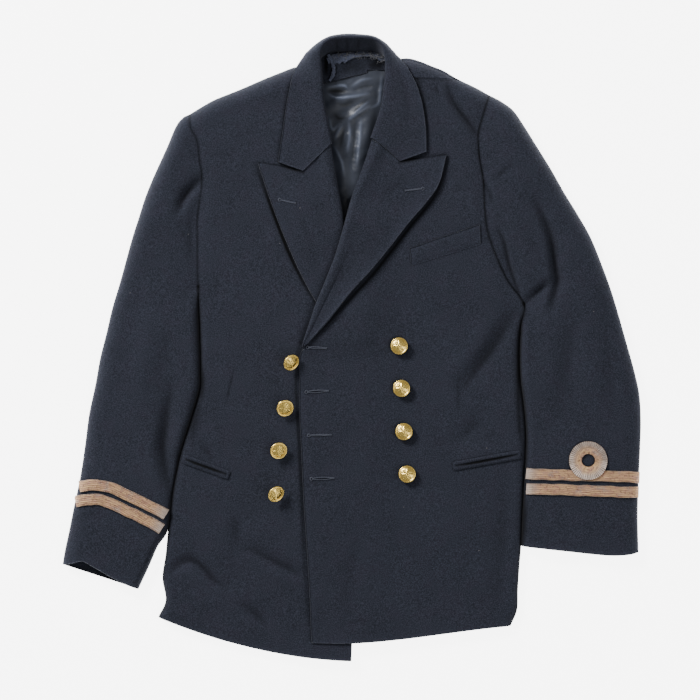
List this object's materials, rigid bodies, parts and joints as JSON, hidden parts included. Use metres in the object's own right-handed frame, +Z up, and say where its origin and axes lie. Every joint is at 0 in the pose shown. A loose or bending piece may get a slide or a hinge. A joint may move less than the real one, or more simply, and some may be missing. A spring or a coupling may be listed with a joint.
{
  "type": "military dress tunic",
  "caption": "Double-breasted dark wool officer's jacket laid flat, with peaked lapels, gilt buttons, a raised collar and gold lace with a curl on the cuffs.",
  "frame": {"origin": "middle of the jacket's footprint, on the surface that it lies on", "axes": "+Y from the hem to the collar, +X to the wearer's left, +Z up out of the fronts"},
  "size_m": [0.724, 0.784, 0.0312],
  "materials": {
    "wool": "matte dark navy wool",
    "satin": "glossy black satin lining",
    "gold_lace": "tarnished gold lace",
    "gilt": "polished gilt"
  },
  "bodies": {
    "root": {"back": "wool", "front_right": "wool", "front_left": "wool", "lapel_right": "wool", "lapel_left": "wool", "collar": "wool", "sleeve_right_top": "wool", "sleeve_right_under": "wool", "sleeve_left_top": "wool", "sleeve_left_under": "wool", "breast_welt": "wool", "pocket_left": "wool", "pocket_right": "wool", "lining_back": "satin", "lace_right_upper": "gold_lace", "lace_right_lower": "gold_lace", "lace_left_upper": "gold_lace", "lace_left_lower": "gold_lace", "curl_left": "gold_lace", "button_left_1": "gilt", "button_left_2": "gilt", "button_left_3": "gilt", "button_left_4": "gilt", "button_right_1": "gilt", "button_right_2": "gilt", "button_right_3": "gilt", "button_right_4": "gilt"}
  },
  "joints": []
}
